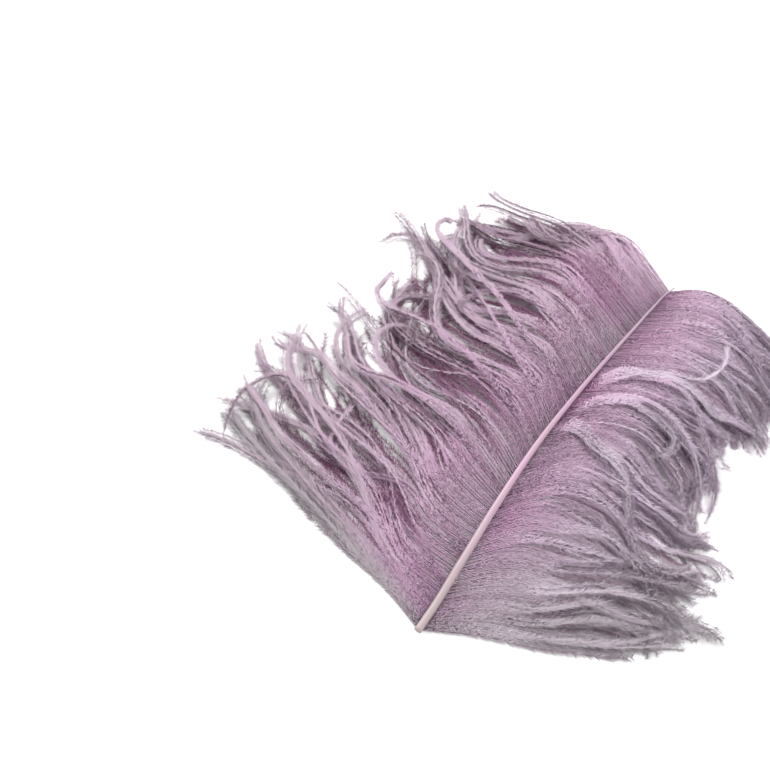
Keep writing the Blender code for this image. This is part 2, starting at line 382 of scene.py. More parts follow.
@dataclass
class Vane:
    """The barbs on one side of the shaft.

    Each guide is a lock: the station where it leaves the shaft and the plan of its line, both in
    millimetres from the quill's cut end. A span gives the least and the most of what differs from
    strand to strand.
    """

    side: Side
    guides: tuple[Guide, ...]
    barbs: int
    shaft: ShaftLine
    locks: LockShape
    seed: int
    points_a_barb: int = 24
    wrap: Wrap = Wrap()
    count_share: float = 0.75
    thin_lock: float = 0.0
    thin_spread: float = 3.5
    thin_depth: float = 0.0
    calm_locks: float = 4.0
    calmest: float = 0.25
    jitter: Span = (0.3, 0.7)
    loose_share: float = 0.35
    loose_jitter: Span = (0.2, 0.8)
    loose_spread: float = 0.75
    loose_shortest: float = 0.55
    loose_reach: float = 0.97
    loose_bend: float = 0.1
    loose_curl: float = 0.4
    loose_curl_from: Span = (0.6, 0.9)
    loose_calm_locks: float = 3.0
    # Loose barbs under the strands are painted dark, as painted shade, with some random spread.
    loose_shade_and_tone: Span = (-1.9, 0.35)
    loose_fluff: float = 1.1
    loose_sway: float = 0.5
    loose_lift: float = 0.3
    loose_sunk: float = 0.8
    loose_flow: float = 0.35
    woolly_locks: float = 0.0
    woolly_bend: float = 0.3
    woolly_fluff: float = 0.5
    woolly_fray: float = 1.0
    woolly_radius: float = 0.4
    strand_sizes: tuple[int, ...] = (5, 7, 8, 9, 10)
    strand_radius: float = 2.1
    strand_lengths: Span = (0.88, 1.07)
    sways: Span = (0.6, 1.3)
    rises: Span = (0.3, 1.3)
    own_lengths: Span = (0.95, 1.0)
    gather_from: Span = (0.08, 0.3)
    gather_within: Span = (0.2, 0.4)
    gathered: float = 0.8
    ride_from: float = -0.6
    ride_height: float = 3.2
    # Strands that ride higher above the vane are painted paler and lower ones darker: painted highlight
    # and painted shade.
    painted_shade_by_ride: Span = (-0.8, 1.1)
    strand_tone: float = 0.45
    barb_tone: float = 0.4
    tone_spread: float = 1.0
    bend_spread: float = 0.33
    waves: Span = (0.9, 1.7)
    bends: Span = (0.12, 0.62)
    curl_mean: float = 0.0
    curl_spread: float = 1.7
    curl_from: Span = (0.62, 0.88)
    flow_knots: int = 11
    flow_spread: float = 0.27
    flow_waves: float = 1.2
    ripple: float = 1.2
    ripple_waves: float = 1.3
    fray: float = 0.4
    frays_from: float = 0.6
    rng: np.random.Generator = field(init=False)
    places: np.ndarray = field(init=False)
    stations: np.ndarray = field(init=False)

    def __post_init__(self) -> None:
        """Seeds the vane's own random numbers and finds where its locks cross the guides."""
        self.rng = np.random.default_rng(self.seed)
        self.places = self.even_places()
        self.stations = self.guide_stations(self.places)

    def guide_stations(self, places: np.ndarray) -> np.ndarray:
        """Stations on the shaft for places from 0, at the quill, to 1, at the plume's tip."""
        return through(np.array([[guide[0]] for guide in self.guides], float), places)[:, 0]

    def plans(self, places: np.ndarray, stations: np.ndarray) -> np.ndarray:
        """Plan of the barbs at some places along the vane.

        Args:
            places: Places between the guides, from 0 to 1.
            stations: Where those barbs leave the shaft.

        Returns:
            Their points in millimetres, shaped (barb, point of the guide, 2).
        """
        own = np.array([np.ravel(guide[1]) for guide in self.guides], float)
        rest = through(own, places).reshape(len(places), -1, 2)
        return np.concatenate([self.shaft.centre(stations)[:, None, :2], rest], axis=1)

    def even_places(self) -> np.ndarray:
        """Places of the locks' edges and middles, evenly spaced across the middle of the vane."""
        samples = np.linspace(0, 1, self.locks.even_samples)
        plans = self.plans(samples, self.guide_stations(samples))
        line = through(plans.transpose(1, 0, 2), np.array([self.locks.even_share]))[0]
        run = np.concatenate([[0], np.cumsum(np.linalg.norm(np.diff(line, axis=0), axis=1))])
        return np.interp(np.linspace(0, run[-1], 2 * self.locks.locks_a_side + 1), run, samples)

    def height(self, stations: np.ndarray, shares: np.ndarray) -> np.ndarray:
        """Height of the vane's middle surface, in millimetres.

        Args:
            stations: Where the barbs leave the shaft, shaped (barb, point).
            shares: Shares of the barbs' lengths, in the same shape.

        Returns:
            Heights shaped as the shares are.
        """
        shape = self.locks
        flat = stations.ravel()
        root = self.shaft.centre(flat)[:, 2] - shape.root_below_centre * self.shaft.half_width(flat)
        root = root.reshape(stations.shape)
        fall = 1 - smooth_step(shares, 0.0, shape.reaches_surface_share)
        low, high = shape.crest_span
        hump = np.sin(np.pi * np.clip((shares - low) / (high - low), 0, 1))
        crest = shape.crest * hump * smooth_step(root, 0.0, shape.crest_full_height)
        return shape.resting_height + np.maximum(root - shape.resting_height, 0) * fall + crest

    def base_paths(self, columns: np.ndarray, shares: np.ndarray) -> np.ndarray:
        """Paths of barbs that follow the guides and nothing else.

        Args:
            columns: Places of the barbs, counted in half locks from the quill, shaped (barb, point).
            shares: Shares of length at which to read them, in the same shape.

        Returns:
            Points in millimetres from the quill's cut end, shaped (barb, point, 3).
        """
        counted = np.arange(len(self.places))
        places = np.interp(columns.ravel(), counted, self.places)
        stations = np.interp(columns.ravel(), counted, self.stations)
        plans = self.plans(places, stations).transpose(1, 0, 2)
        paths = np.empty((*shares.shape, 3))
        paths[:, :, :2] = through_each(plans, shares.ravel()).reshape(*shares.shape, 2)
        paths[:, :, 2] = self.height(stations.reshape(shares.shape), shares)
        return paths

    def parted(self, shares: np.ndarray) -> np.ndarray:
        """How far the locks have parted at shares of their length, from 0 to 1."""
        return smooth_step(shares, self.locks.part_share)

    @staticmethod
    def of_each(strands: list[Strand], name: str) -> np.ndarray:
        """One value of each strand, as a column."""
        return np.array([getattr(strand, name) for strand in strands])[:, None]

    def strand_columns(
        self, strands: list[Strand], columns: np.ndarray, shares: np.ndarray
    ) -> np.ndarray:
        """Where strands run along the vane: their locks narrow and sway as the CAD solid's do.

        Args:
            strands: The strand of each barb.
            columns: The barbs' places at the root, counted in half locks from the quill.
            shares: Shares of the barbs' lengths, shaped (barb, point).

        Returns:
            Their places, shaped as the shares are.
        """
        middles = 2.0 * self.of_each(strands, "lock") + 1
        widths = np.interp(shares, self.locks.width_shares, self.locks.widths)
        widths = 1 - (1 - widths) * (1 - self.of_each(strands, "spread"))
        lean = self.of_each(strands, "sway") * self.parted(shares)
        return np.clip(middles + (columns[:, None] - middles) * widths + lean, 0, len(self.places) - 1)

    def lock_draws(self, rng: random.Random) -> list[dict[str, float]]:
        """How each lock differs from its neighbours, in the CAD solid's order of draws."""
        shape = self.locks
        draws = []
        for number in range(shape.locks_a_side):
            rides = number % 2
            length = 1 + rng.uniform(-shape.length_spread, shape.length_spread)
            lift = rides * (shape.upper_lift + rng.uniform(0, shape.lift_spread))
            tip_lift = rides * shape.tip_lift * rng.random() ** 2
            sway = rides * shape.tip_sway * rng.uniform(-1.0, 1.0)
            draws.append({"length": length, "lift": lift, "tip_lift": tip_lift, "sway": sway})
        return draws

    def woolly(self, lock: int) -> float:
        """How woolly a lock is, from 0 to 1: those nearest the quill are."""
        return max(1 - lock / self.woolly_locks, 0.0)

    def from_end(self, lock: int) -> int:
        """How many locks lie between a lock and the nearer end of the vane."""
        return min(lock, self.locks.locks_a_side - 1 - lock)

    def lock_counts(self) -> np.ndarray:
        """How many barbs each lock has: more where locks fan out, fewer where the vane is thin."""
        columns = 2.0 * np.arange(self.locks.locks_a_side + 1)[:, None]
        crossing = self.base_paths(columns, np.full_like(columns, self.count_share))[:, 0]
        widths = np.linalg.norm(np.diff(crossing, axis=0), axis=1)
        widths += widths.mean()
        locks = np.arange(self.locks.locks_a_side)
        widths *= 1 - self.thin_depth * np.exp(-(((locks - self.thin_lock) / self.thin_spread) ** 2))
        return np.round(self.barbs * widths / widths.sum()).astype(int)

    def loose_barb(self, lock: int, column: float, draw: dict[str, float]) -> Strand:
        """One barb that lies on its own under the strands, painted dark as shade.

        Args:
            lock: Its lock's number.
            column: Its place along the vane.
            draw: How its lock differs.

        Returns:
            The barb, as a strand of one.
        """
        rng = self.rng
        free = min(self.from_end(lock) / self.loose_calm_locks, 1.0)
        return Strand(
            lock=lock,
            columns=np.array([column]),
            spread=self.loose_spread * free,
            sway=draw["sway"] * self.loose_sway,
            length=draw["length"] * rng.uniform(self.loose_shortest, self.loose_reach),
            lift=draw["lift"] * self.loose_lift - self.loose_sunk,
            gather=(0.0, 1.0),
            bend=rng.normal(0, self.loose_bend) * free,
            curl=rng.normal(0, self.loose_curl) * free,
            curl_from=rng.uniform(*self.loose_curl_from),
            rise=0.0,
            # Painted shade: loose barbs under the strands are darkened.
            tone=rng.normal(*self.loose_shade_and_tone) * self.tone_spread * (0.2 + 0.8 * free),
            fluff=self.loose_fluff + self.woolly_fluff * self.woolly(lock),
            loose=True,
        )

    def strand(self, lock: int, columns: np.ndarray, draw: dict[str, float]) -> Strand:
        """One strand.

        Args:
            lock: Its lock's number.
            columns: Places of its barbs along the vane.
            draw: How its lock differs.

        Returns:
            The strand.
        """
        rng = self.rng
        start = rng.uniform(*self.gather_from)
        calm = min(self.from_end(lock) / self.calm_locks, 1.0)
        free = self.calmest + (1 - self.calmest) * calm
        woolly = self.woolly(lock)
        # Painted shade and highlight: how high a strand rides sets how dark or pale it is painted.
        ride = rng.uniform(0, 1)
        low, high = self.painted_shade_by_ride
        return Strand(
            lock=lock,
            columns=columns,
            sway=draw["sway"] * rng.uniform(*self.sways),
            length=draw["length"] * rng.uniform(*self.strand_lengths),
            lift=draw["lift"] + self.ride_from + self.ride_height * ride,
            gather=(start, start + rng.uniform(*self.gather_within)),
            bend=rng.normal(0, self.bend_spread + self.woolly_bend * woolly) * free,
            curl=rng.normal(self.curl_mean, self.curl_spread) * free,
            curl_from=rng.uniform(*self.curl_from),
            rise=draw["tip_lift"] * rng.uniform(*self.rises),
            tone=rng.normal(low + (high - low) * ride, self.strand_tone) * self.tone_spread,
            fluff=1 + self.woolly_fluff * woolly,
        )

    def make_strands(self, draws: list[dict[str, float]]) -> list[Strand]:
        """Divides the barbs among strands.

        Args:
            draws: How each lock differs.

        Returns:
            The strands, in order from the quill.
        """
        rng = self.rng
        last = len(self.places) - 1
        fewest = 3
        strands = []
        for lock, (draw, count) in enumerate(zip(draws, self.lock_counts())):
            loose = int(round(self.loose_share * count))
            for part in (np.arange(loose) + rng.uniform(*self.loose_jitter, loose)) / loose:
                strands.append(self.loose_barb(lock, 2 * (lock + part), draw))
            bound = count - loose
            across = 2 * (lock + (np.arange(bound) + rng.uniform(*self.jitter, bound)) / bound)
            taken = 0
            while taken < bound:
                size = int(rng.choice(self.strand_sizes))
                if bound - taken - size < fewest:
                    size = bound - taken
                own = np.clip(across[taken : taken + size], 0, last)
                strands.append(self.strand(lock, own, draw))
                taken += size
        return strands

    def wander(self, paths: np.ndarray, shares: np.ndarray, strands: list[Strand]) -> np.ndarray:
        """Bends strands sideways in waves, curls their tips and lifts them.

        Args:
            paths: The strands' paths along the guides, in millimetres.
            shares: Shares of length of the points, shaped (strand, point).
            strands: What each strand does.

        Returns:
            The bent paths, in the same shape.
        """
        rng = self.rng
        count = len(paths)
        reach = np.array([strand.columns.mean() for strand in strands]) / (len(self.places) - 1)
        flow = through(rng.normal(0, self.flow_spread, self.flow_knots), reach)[:, None]
        flow_phase = through(rng.uniform(0, 2 * np.pi, self.flow_knots), reach)[:, None]
        flow = np.where(self.of_each(strands, "loose"), flow * self.loose_flow, flow)
        waves = rng.uniform(*self.waves, (count, 1))
        phase = rng.uniform(0, 2 * np.pi, (count, 1))
        sets_in = smooth_step(shares, *self.bends)
        names = ("bend", "curl", "curl_from", "lift", "rise")
        bend, curl, curl_from, lift, rise = (self.of_each(strands, name) for name in names)
        turn = bend * np.sin(2 * np.pi * waves * shares + phase) * sets_in
        turn += flow * np.sin(2 * np.pi * self.flow_waves * shares + flow_phase) * sets_in
        turn += curl * np.clip((shares - curl_from) / (1 - curl_from), 0, 1) ** 1.5
        steps = np.diff(paths, axis=1)
        angle = (turn[:, 1:] + turn[:, :-1]) / 2
        turned = steps.copy()
        turned[:, :, 0] = steps[:, :, 0] * np.cos(angle) - steps[:, :, 1] * np.sin(angle)
        turned[:, :, 1] = steps[:, :, 0] * np.sin(angle) + steps[:, :, 1] * np.cos(angle)
        bent = paths.copy()
        bent[:, 1:] = paths[:, :1] + np.cumsum(turned, axis=1)
        beyond = self.parted(shares)
        height = rng.uniform(0, self.ripple, (count, 1))
        ripple = height * np.sin(2 * np.pi * waves * shares * self.ripple_waves + phase)
        bent[:, :, 2] += lift * np.sqrt(beyond) + ripple * beyond + rise * beyond**4
        return bent

    def grow(self, draws: list[dict[str, float]]) -> Barbs:
        """Grows the vane's barbs.

        Args:
            draws: How each lock differs, from lock_draws.

        Returns:
            The barbs, in metres in the row's frame, from the quill to the plume's tip.
        """
        rng = self.rng
        strands = self.make_strands(draws)
        owners = np.repeat(np.arange(len(strands)), [len(strand.columns) for strand in strands])
        of_barb = [strands[owner] for owner in owners]
        columns = np.concatenate([strand.columns for strand in strands])
        centres = np.array([strand.columns.mean() for strand in strands])
        lengths = self.of_each(strands, "length")
        loose = self.of_each(of_barb, "loose")[:, 0]
        count = len(columns)
        shares = np.repeat(np.linspace(0, 1, self.points_a_barb)[None, :], len(strands), axis=0)
        read_at = shares * lengths
        plain = self.base_paths(self.strand_columns(strands, centres, read_at), read_at)
        bent = self.wander(plain, shares, strands)

        own_share = rng.uniform(*self.own_lengths, count)[:, None]
        own_share[loose] = 1.0
        shares = shares[owners] * own_share
        read_at = shares * lengths[owners]
        own = self.base_paths(self.strand_columns(of_barb, columns, read_at), read_at)
        core, straight = (read_rows(rows, owners[:, None], shares) for rows in (bent, plain))

        start, end = np.array([strand.gather for strand in of_barb]).T[:, :, None]
        bundled = smooth_step(shares, start, end)
        bundled[loose] = 0.0
        offset = (own - straight) * (1 - self.gathered * bundled[:, :, None])
        wool = np.array([self.woolly(strand.lock) for strand in of_barb])
        apart = rng.normal(0, self.fray, (count, 1, 3)) * (1, 1, 0.5)
        apart *= 1 + self.woolly_fray * wool[:, None, None]
        offset = offset + apart * smooth_step(shares, self.frays_from)[:, :, None]
        tone = rng.normal(0, self.barb_tone, count) + self.of_each(of_barb, "tone")[:, 0]
        radius = self.strand_radius * (1 + self.woolly_radius * wool)
        barbs = self.wrap.lay(rng, core, offset, bundled, shares, radius, tone)
        barbs.fluff *= self.of_each(of_barb, "fluff")[:, 0]
        barbs.ends = np.minimum(own_share * lengths[owners], 1.0)[:, 0]
        barbs.wool = wool
        return barbs


@dataclass(frozen=True)
class Stray:
    """A strand that leaves the flow of its vane.

    Attributes:
        line: Its line, as a guide has it.
        barbs: How many barbs it has.
        radius: How far they keep from its core, in millimetres.
        lift: How far it rides above the vane, in millimetres.
        tone: Its lightness against the mean.
    """

    line: Guide
    barbs: int = 5
    radius: float = 1.2
    lift: float = 6.5
    tone: float = 1.2


@dataclass
class Strays:
    """The strands that the eye finds first: hooks, loops and curls on ways of their own."""

    strays: tuple[Stray, ...]
    vane: Vane
    points_a_barb: int = 44
    wrap: Wrap = Wrap(flat=(1.2, 0.8))
    shortest: float = 0.86
    root_depth: float = 0.6
    surfaces_at: float = 0.25
    lifted_at: float = 0.55
    gather: Span = (0.05, 0.5)
    seed: int = 21

    def grow(self) -> Barbs:
        """Grows them all."""
        rng = np.random.default_rng(self.seed)
        return Barbs.joined([self.grow_one(stray, rng) for stray in self.strays])

    def grow_one(self, stray: Stray, rng: np.random.Generator) -> Barbs:
        """Grows one.

        Args:
            stray: What it is like.
            rng: The source of chance.

        Returns:
            Its barbs.
        """
        station, plan = stray.line
        root = self.vane.shaft.centre(np.array([float(station)]))[:, :2]
        plan = np.concatenate([root, np.array(plan, float)])
        shares = np.linspace(0, 1, self.points_a_barb) * rng.uniform(self.shortest, 1.0, (stray.barbs, 1))
        core = np.empty((*shares.shape, 3))
        core[:, :, :2] = through(plan, shares.ravel()).reshape(*shares.shape, 2)
        core[:, :, 2] = self.vane.height(np.full(shares.shape, float(station)), shares)
        core[:, :, 2] += stray.lift * smooth_step(shares, 0.0, self.lifted_at)
        core[:, :, 2] -= self.root_depth * (1 - smooth_step(shares, 0.0, self.surfaces_at))
        offset = np.zeros_like(core)
        offset[:, :, 1] = (np.arange(stray.barbs)[:, None] - stray.barbs / 2) * (1 - shares)
        tone = rng.normal(stray.tone, 0.3, stray.barbs)
        bundled = smooth_step(shares, *self.gather)
        radius = np.full(stray.barbs, stray.radius)
        return self.wrap.lay(rng, core, offset, bundled, shares, radius, tone)


@dataclass
class Down:
    """Turns barbs into a mesh: a thin three-sided stem each, with barbules all along it.

    The barbules' lengths are in millimetres, from the barb's root to its tip. A lean is how far
    they stand off the barb, and a turn how far to the side of the way that the barb faces.
    """

    root_radius: float = 0.2 * MM
    tip_radius: float = 0.05 * MM
    barbules_a_barb: int = 750
    fewest_barbules: int = 8
    crowding: float = 0.85
    barbule_width: float = 0.31 * MM
    width_spread: Span = (0.7, 1.3)
    thinner_at_tip: float = 0.4
    barbule_lengths: tuple[float, ...] = (0.7, 1.4, 2.4, 3.2, 3.5, 3.5, 3.2)
    length_spread: Span = (0.5, 1.15)
    lean_at_root: float = 0.75
    lean_in_strand: float = 0.68
    leans_in_by: float = 0.6
    lean_at_tip: float = 0.4
    tip_from: float = 0.9
    lean_spread: Span = (0.6, 1.3)
    turn_in_vane: float = 1.45
    turn_spread: float = 0.3
    turn_more_in_strand: float = 0.7
    shingle_up: float = 1.1
    shingle_spread: float = 0.3
    flyaway_share: float = 0.05
    flyaway_lean: float = 1.6
    flyaway_length: float = 1.4
    clearance: float = 0.15 * MM
    softness: float = 0.75
    soft_out: float = 0.5
    stem_cells: tuple[float, ...] = (0.3, 0.5, 0.7)
    hair_cells: tuple[float, ...] = (0.35, 0.65, 0.5)
    strip_margin: float = 0.005
    strip_run: float = 0.98
    hair_run: float = 0.01
    stem_edge: float = 0.4
    seed: int = 5

    def stems(self, barbs: Barbs) -> tuple[np.ndarray, np.ndarray, np.ndarray]:
        """Makes the stems.

        Args:
            barbs: The barbs.

        Returns:
            Their vertices, the normals of those, and four corners for each face.
        """
        paths = barbs.paths
        count, points, _ = paths.shape
        _, across, above = axes_along(paths)
        radius = np.linspace(self.root_radius, self.tip_radius, points)[None, :, None, None]
        turns = 2 * math.pi * np.arange(3) / 3 + math.pi / 2
        cosines, sines = np.cos(turns)[:, None], np.sin(turns)[:, None]
        normals = across[:, :, None] * cosines + above[:, :, None] * sines
        vertices = (paths[:, :, None] + radius * normals).reshape(-1, 3)
        return vertices, normals.reshape(-1, 3), tube_faces(count, points, 3)

    def barbules(self, barbs: Barbs) -> tuple[np.ndarray, np.ndarray, np.ndarray, np.ndarray]:
        """Makes the barbules, each one thin triangle.

        Args:
            barbs: The barbs.

        Returns:
            Their vertices, three in a row for each; one normal for each, which faces out of its
            strand; the barb of each; and its share of the length.
        """
        rng = np.random.default_rng(self.seed)
        lengths = np.linalg.norm(np.diff(barbs.paths, axis=1), axis=2).sum(axis=1)
        numbers = np.maximum(self.barbules_a_barb * lengths / lengths.mean(), self.fewest_barbules)
        owner = np.repeat(np.arange(len(lengths)), numbers.astype(int))
        total = len(owner)
        share = rng.uniform(0, 1, total) ** self.crowding
        values = barbs.paths, axes_along(barbs.paths)[0], barbs.outward, barbs.bundled[:, :, None]
        base, forward, facing, bundled = (read_rows(rows, owner, share) for rows in values)
        bundled = bundled[:, 0]
        facing = unit(facing - forward * (facing * forward).sum(axis=1, keepdims=True))
        sideways = np.cross(forward, facing)
        turn = rng.normal(0, 1, total) * (self.turn_spread + self.turn_more_in_strand * bundled)
        turn += (rng.integers(0, 2, total) * 2 - 1) * self.turn_in_vane * (1 - bundled)
        settles = smooth_step(share, 0.0, self.leans_in_by)
        lean = self.lean_at_root + (self.lean_in_strand - self.lean_at_root) * settles
        lean += self.lean_at_tip * smooth_step(share, self.tip_from)
        flyaway = rng.random(total) < self.flyaway_share
        lean *= rng.uniform(*self.lean_spread, total) * np.where(flyaway, self.flyaway_lean, 1.0)
        out = facing * np.cos(turn)[:, None] + sideways * np.sin(turn)[:, None]
        direction = forward * np.cos(lean)[:, None] + out * np.sin(lean)[:, None]
        profile = np.interp(share, np.linspace(0, 1, len(self.barbule_lengths)), self.barbule_lengths)
        reach = profile * MM * rng.uniform(*self.length_spread, total) * barbs.fluff[owner]
        reach *= np.where(flyaway, self.flyaway_length, 1.0)
        shingle = facing * (self.shingle_up - bundled)[:, None] + out * bundled[:, None]
        shingle = shingle + rng.normal(0, self.shingle_spread, (total, 3))
        width_way = unit(np.cross(direction, shingle))
        width = self.barbule_width * rng.uniform(*self.width_spread, total)
        width = (width * (1 - self.thinner_at_tip * share))[:, None] / 2
        tip = base + direction * reach[:, None]
        tip[:, 2] = np.maximum(tip[:, 2], self.clearance)
        flat = np.cross(width_way, direction)
        soft = unit(facing + out * self.soft_out)
        front = np.where((flat * soft).sum(axis=1, keepdims=True) < 0, -1.0, 1.0)
        width_way = width_way * front
        normals = unit(soft * self.softness + flat * front * (1 - self.softness))
        vertices = np.stack([base - width_way * width, base + width_way * width, tip], axis=1)
        return vertices.reshape(-1, 3), normals, owner, share

    def build(self, name: str, barbs: Barbs) -> bpy.types.Object:
        """Builds one piece of down.

        Args:
            name: The piece's name.
            barbs: Its barbs.

        Returns:
            The piece, with its lightness (painted shade and highlight included) and its reach as
            attributes and a strip of UV for each barb.
        """
        stem_vertices, stem_normals, stem_faces = self.stems(barbs)
        hair_vertices, hair_normals, owner, share = self.barbules(barbs)
        count, points, _ = barbs.paths.shape
        rings, hairs = count * points, len(owner)
        vertices = np.concatenate([stem_vertices, hair_vertices])
        hair_corners = np.arange(hairs * 3) + len(stem_vertices)
        corners = np.concatenate([stem_faces.ravel(), hair_corners])
        sizes = np.concatenate([np.full(len(stem_faces), 4), np.full(hairs, 3)])
        starts = np.concatenate([[0], np.cumsum(sizes)[:-1]])

        mesh = bpy.data.meshes.new(name)
        mesh.vertices.add(len(vertices))
        mesh.vertices.foreach_set("co", vertices.ravel().astype(np.float32))
        mesh.loops.add(len(corners))
        mesh.loops.foreach_set("vertex_index", corners.astype(np.int32))
        mesh.polygons.add(len(sizes))
        mesh.polygons.foreach_set("loop_start", starts.astype(np.int32))
        mesh.polygons.foreach_set("loop_total", sizes.astype(np.int32))
        mesh.update(calc_edges=True)
        mesh.shade_smooth()
        normals = np.concatenate([stem_normals, np.repeat(hair_normals, 3, axis=0)])
        mesh.normals_split_custom_set_from_vertices(normals.astype(np.float32))

        stem_share = np.repeat(np.tile(np.linspace(0, 1, points), count), 3)
        along = np.concatenate([stem_share, np.repeat(share, 3)])
        stem_barb = np.repeat(np.arange(count), points * 3)
        barb = np.concatenate([stem_barb, np.repeat(owner, 3)])
        # Edge runs from 0 at a barbule's base to 1 at its tip; the material paints tips paler and bases
        # darker from it, a painted highlight and shade.
        edge = np.concatenate([np.full(rings * 3, self.stem_edge), np.tile((0.0, 0.0, 1.0), hairs)])
        keep_value(mesh, "reach", along * barbs.ends[barb])
        keep_value(mesh, "tone", barbs.tone[barb])
        keep_value(mesh, "edge", edge)
        keep_value(mesh, "wool", barbs.wool[barb])
        cells = np.concatenate([np.tile(self.stem_cells, rings), np.tile(self.hair_cells, hairs)])
        rise = np.concatenate([np.zeros(rings * 3), np.tile((0.0, 0.0, self.hair_run), hairs)])
        up_strip = np.clip(self.strip_margin + self.strip_run * along + rise, 0, 1)
        uv = np.stack([(barb + cells) / count, up_strip], axis=-1)[corners]
        strips = mesh.uv_layers.new(name="OFBake")
        strips.data.foreach_set("uv", uv.ravel().astype(np.float32))
        return linked(name, mesh)


@dataclass
class Shaft:
    """The shaft itself: round above, grooved below, cut off square at the quill."""

    line: ShaftLine
    flat_rings: int = 7
    rings: int = 120
    sides: int = 20
    groove_depth: float = 0.3
    groove_width: float = 0.45
    grooved_within: float = 30.0
    thickness: float = 0.95
    sharp: float = math.radians(50)

    def build(self) -> bpy.types.Object:
        """Lofts the shaft's section along its line."""
        flat_end, tip = self.line.points[1][1], self.line.points[-1][1]
        flat = np.linspace(0, flat_end, self.flat_rings + 1)[:-1]
        stations = np.concatenate([flat, np.linspace(flat_end, tip, self.rings)])
        turns = 2 * np.pi * np.arange(self.sides) / self.sides + np.pi / 2
        groove = np.exp(-(((turns - 1.5 * np.pi) / self.groove_width) ** 2)) * self.groove_depth
        grooved = smooth_step(stations, flat_end, flat_end + self.grooved_within)[:, None]
        reach = self.line.half_width(stations)[:, None] * (1 - groove[None, :] * grooved)
        rings = np.repeat(self.line.centre(stations)[:, None, :], self.sides, axis=1)
        rings[:, :, 0] += reach * np.cos(turns)
        rings[:, :, 2] += reach * np.sin(turns) * self.thickness
        vertices = (rings + QUILL_END) * MM
        faces = tube_faces(1, len(stations), self.sides)
        last = (len(stations) - 1) * self.sides
        caps = [list(range(self.sides))[::-1], list(range(last, last + self.sides))]
        mesh = bpy.data.meshes.new("shaft")
        mesh.from_pydata(vertices.reshape(-1, 3).tolist(), [], faces.tolist() + caps)
        mesh.shade_smooth()
        mesh.set_sharp_from_angle(angle=self.sharp)
        keep_value(mesh, "reach", np.repeat(stations / stations[-1], self.sides))
        return linked("shaft", mesh)


@dataclass(frozen=True)
class Wiring:
    """Adds nodes to a tree, each with what goes into it."""

    tree: bpy.types.NodeTree

    def add(self, kind: str, inputs: dict[int | str, object], **settings: object) -> bpy.types.Node:
        """Adds one node.

        Args:
            kind: Its type.
            inputs: A socket to link or a constant for each of its own sockets.
            settings: Its own properties.

        Returns:
            The node.
        """
        node = self.tree.nodes.new(f"ShaderNode{kind}")
        for title, value in settings.items():
            setattr(node, title, value)
        for title, value in inputs.items():
            if isinstance(value, Socket):
                self.tree.links.new(value, node.inputs[title])
            else:
                node.inputs[title].default_value = value
        return node

    def attribute(self, title: str) -> Socket:
        """Reads one of the mesh's values."""
        return self.add("Attribute", {}, attribute_name=title).outputs["Fac"]

    def place(self) -> Socket:
        """Reads the place on the object."""
        return self.add("TexCoord", {}).outputs["Object"]

    def sums(self, operation: str, *terms: Socket | float, clamp: bool = False) -> Socket:
        """Works out a value from one to three others."""
        inputs = dict(enumerate(terms))
        return self.add("Math", inputs, operation=operation, use_clamp=clamp).outputs["Value"]

    def spread(self, value: Socket, given: Span, wanted: Span) -> Socket:
        """Maps a value from one span to another, and no further."""
        inputs = {"From Min": given[0], "From Max": given[1], "To Min": wanted[0], "To Max": wanted[1]}
        return self.add("MapRange", {"Value": value, **inputs}).outputs["Result"]

    def mix(self, factor: Socket, first: Socket, second: Socket | tuple[float, ...]) -> Socket:
        """Mixes two colours."""
        return self.add("Mix", {"Factor": factor, 6: first, 7: second}, data_type="RGBA").outputs[2]

    def ramp(self, factor: Socket, stops: tuple[tuple[float, Colour], ...]) -> Socket:
        """Reads a colour between stops.

        Args:
            factor: Where to read.
            stops: The place and the colour of each stop, in order.

        Returns:
            The socket that gives the colour.
        """
        node = self.add("ValToRGB", {"Fac": factor})
        elements = node.color_ramp.elements
        for place, _ in stops[1:-1]:
            elements.new(place)
        for element, (place, colour) in zip(elements, stops):
            element.position = place
            element.color = (*colour, 1.0)
        return node.outputs["Color"]


@dataclass(frozen=True)
class Mottle:
    """A slow drift of one colour into another over the surface, shared by the finishes."""

    name: str = "mottle"
    detail: float = 3.0
    fade: Span = (0.35, 0.65)
    sockets: tuple[tuple[str, str, str], ...] = (
        ("Colour", "INPUT", "NodeSocketColor"),
        ("Drift", "INPUT", "NodeSocketColor"),
        ("Scale", "INPUT", "NodeSocketFloat"),
        ("Amount", "INPUT", "NodeSocketFloat"),
        ("Colour", "OUTPUT", "NodeSocketColor"),
    )

    def group(self) -> bpy.types.NodeTree:
        """Builds the node group once.

        Returns:
            The group, with two colours, a scale and an amount in, and a colour out.
        """
        made = bpy.data.node_groups.get(self.name)
        if made:
            return made
        made = bpy.data.node_groups.new(self.name, "ShaderNodeTree")
        for title, way, kind in self.sockets:
            made.interface.new_socket(name=title, in_out=way, socket_type=kind)
        given = made.nodes.new("NodeGroupInput").outputs
        result = made.nodes.new("NodeGroupOutput").inputs
        wiring = Wiring(made)
        inputs = {"Vector": wiring.place(), "Scale": given["Scale"], "Detail": self.detail}
        noise = wiring.add("TexNoise", inputs).outputs["Fac"]
        amount = wiring.sums("MULTIPLY", wiring.spread(noise, self.fade, (0.0, 1.0)), given["Amount"])
        made.links.new(wiring.mix(amount, given["Colour"], given["Drift"]), result["Colour"])
        return made


